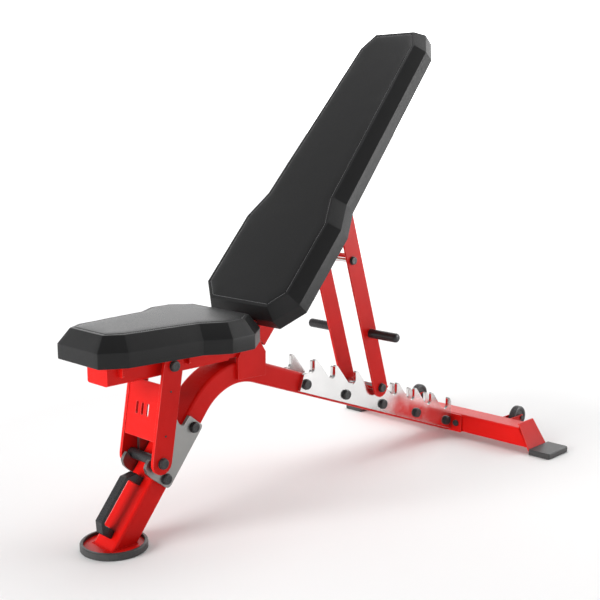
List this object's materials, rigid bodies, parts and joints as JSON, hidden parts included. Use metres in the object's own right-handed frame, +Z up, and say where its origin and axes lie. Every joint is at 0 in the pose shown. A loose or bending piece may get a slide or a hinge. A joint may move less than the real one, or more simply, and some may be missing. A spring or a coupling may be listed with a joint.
{
  "type": "adjustable weight bench",
  "caption": "Adjustable weight bench: bent tube frame, toothed ladders hold a hinged seat and a hinged backrest, round front foot, rear cross-member with rubber feet and wheels.",
  "frame": {"origin": "floor point under the middle of the bench's length and width", "axes": "+Z up, -Y is the front end with the round foot and the seat, +Y the rear end with the cross-member, X across the bench"},
  "size_m": [0.7126, 1.3605, 1.0944],
  "materials": {
    "back_board": "plain plywood",
    "back_ladder_bolt_1": "black oxide",
    "back_ladder_bolt_2": "black oxide",
    "back_ladder_bolt_3": "black oxide",
    "back_ladder_bolt_4": "black oxide",
    "back_ladder_bolt_5": "black oxide",
    "back_ladder_left": "polished",
    "back_ladder_right": "polished",
    "back_pad": "grained charcoal upholstery over foam",
    "back_tube": "red powder coat",
    "carry_handle": "black satin",
    "end_plate_left": "red powder coat",
    "end_plate_right": "red powder coat",
    "flange_bolt_left": "black oxide",
    "flange_bolt_right": "black oxide",
    "front_foot_plate": "red powder coat",
    "front_foot_ring": "matt black",
    "grip_left": "black satin",
    "grip_right": "black satin",
    "link_plate_left": "red powder coat",
    "link_plate_right": "red powder coat",
    "link_roller_bolt": "black oxide",
    "link_sleeve": "red powder coat",
    "link_top_bolt": "black oxide",
    "link_web": "red powder coat",
    "main_pivot_shaft": "black oxide",
    "main_tube": "red powder coat",
    "pad_tab_1": "red powder coat",
    "pad_tab_2": "red powder coat",
    "pad_tab_3": "red powder coat",
    "pad_tab_4": "red powder coat",
    "pivot_bracket_left": "red powder coat",
    "pivot_bracket_right": "red powder coat",
    "rear_cross_member": "red powder coat",
    "rear_flange": "red powder coat",
    "rear_foot_left": "matt black",
    "rear_foot_right": "matt black",
    "seat_board": "plain plywood",
    "seat_ladder_bolt_1": "black oxide",
    "seat_ladder_bolt_2": "black oxide",
    "seat_ladder_left": "matt grey",
    "seat_ladder_right": "matt grey",
    "seat_pad": "grained charcoal upholstery over foam",
    "seat_roller": "black nylon",
    "seat_tube": "red powder coat",
    "strut_bar_left": "red powder coat",
    "strut_bar_right": "red powder coat",
    "strut_brace": "red powder coat",
    "strut_pin_bolt": "black oxide",
    "strut_roller": "bright steel",
    "strut_sleeve": "red powder coat",
    "strut_tie_rod": "bright steel",
    "strut_top_bolt": "black oxide",
    "wheel_axle_left": "black oxide",
    "wheel_axle_right": "black oxide",
    "wheel_bracket_left": "red powder coat",
    "wheel_bracket_right": "red powder coat",
    "wheel_left": "dark grey",
    "wheel_right": "dark grey"
  },
  "bodies": {
    "base": {"back_ladder_bolt_1": "back_ladder_bolt_1", "back_ladder_bolt_2": "back_ladder_bolt_2", "back_ladder_bolt_3": "back_ladder_bolt_3", "back_ladder_bolt_4": "back_ladder_bolt_4", "back_ladder_bolt_5": "back_ladder_bolt_5", "back_ladder_left": "back_ladder_left", "back_ladder_right": "back_ladder_right", "carry_handle": "carry_handle", "end_plate_left": "end_plate_left", "end_plate_right": "end_plate_right", "flange_bolt_left": "flange_bolt_left", "flange_bolt_right": "flange_bolt_right", "front_foot_plate": "front_foot_plate", "front_foot_ring": "front_foot_ring", "main_pivot_shaft": "main_pivot_shaft", "main_tube": "main_tube", "pivot_bracket_left": "pivot_bracket_left", "pivot_bracket_right": "pivot_bracket_right", "rear_cross_member": "rear_cross_member", "rear_flange": "rear_flange", "rear_foot_left": "rear_foot_left", "rear_foot_right": "rear_foot_right", "seat_ladder_bolt_1": "seat_ladder_bolt_1", "seat_ladder_bolt_2": "seat_ladder_bolt_2", "seat_ladder_left": "seat_ladder_left", "seat_ladder_right": "seat_ladder_right", "wheel_axle_left": "wheel_axle_left", "wheel_axle_right": "wheel_axle_right", "wheel_bracket_left": "wheel_bracket_left", "wheel_bracket_right": "wheel_bracket_right"},
    "seat": {"seat_tube": "seat_tube", "link_sleeve": "link_sleeve", "pad_tab_1": "pad_tab_1", "pad_tab_2": "pad_tab_2", "pad_tab_3": "pad_tab_3", "pad_tab_4": "pad_tab_4", "seat_board": "seat_board", "seat_pad": "seat_pad"},
    "seat_link": {"link_plate_left": "link_plate_left", "link_plate_right": "link_plate_right", "link_web": "link_web", "link_top_bolt": "link_top_bolt", "link_roller_bolt": "link_roller_bolt"},
    "seat_roller": {"seat_roller": "seat_roller"},
    "back": {"back_tube": "back_tube", "strut_sleeve": "strut_sleeve", "back_board": "back_board", "back_pad": "back_pad"},
    "strut": {"strut_bar_left": "strut_bar_left", "strut_bar_right": "strut_bar_right", "strut_top_bolt": "strut_top_bolt", "strut_pin_bolt": "strut_pin_bolt", "strut_tie_rod": "strut_tie_rod", "strut_brace": "strut_brace", "grip_left": "grip_left", "grip_right": "grip_right"},
    "strut_roller": {"strut_roller": "strut_roller"},
    "wheel_left": {"wheel_left": "wheel_left"},
    "wheel_right": {"wheel_right": "wheel_right"}
  },
  "joints": [
    {"name": "backrest", "type": "hinge", "parent": "base", "child": "back", "pos_m": [0, -0.247, 0.424], "axis": [1, 0, 0], "range_deg": [0, 29]},
    {"name": "strut", "type": "hinge", "parent": "back", "child": "strut", "pos_m": [0, 0.0379, 0.6736], "axis": [1, 0, 0], "range_deg": [-27.6, 0]},
    {"name": "seat", "type": "hinge", "parent": "base", "child": "seat", "pos_m": [0, -0.247, 0.424], "axis": [-1, 0, 0], "range_deg": [0, 19]},
    {"name": "seat_link", "type": "hinge", "parent": "seat", "child": "seat_link", "pos_m": [0, -0.4857, 0.3772], "axis": [-1, 0, 0], "range_deg": [-19.05, 0]},
    {"name": "seat_roller_spin", "type": "hinge", "parent": "seat_link", "child": "seat_roller", "pos_m": [0, -0.5209, 0.1749], "axis": [1, 0, 0], "continuous": true},
    {"name": "strut_roller_spin", "type": "hinge", "parent": "strut", "child": "strut_roller", "pos_m": [0, 0.1856, 0.2044], "axis": [1, 0, 0], "continuous": true},
    {"name": "wheel_left_spin", "type": "hinge", "parent": "base", "child": "wheel_left", "pos_m": [-0.174, 0.6492, 0.054], "axis": [1, 0, 0], "continuous": true},
    {"name": "wheel_right_spin", "type": "hinge", "parent": "base", "child": "wheel_right", "pos_m": [0.174, 0.6492, 0.054], "axis": [1, 0, 0], "continuous": true}
  ],
  "couplings": [
    {"joint": "strut", "follows": "backrest", "ratio": -0.95},
    {"joint": "seat_link", "follows": "seat", "ratio": -1}
  ]
}
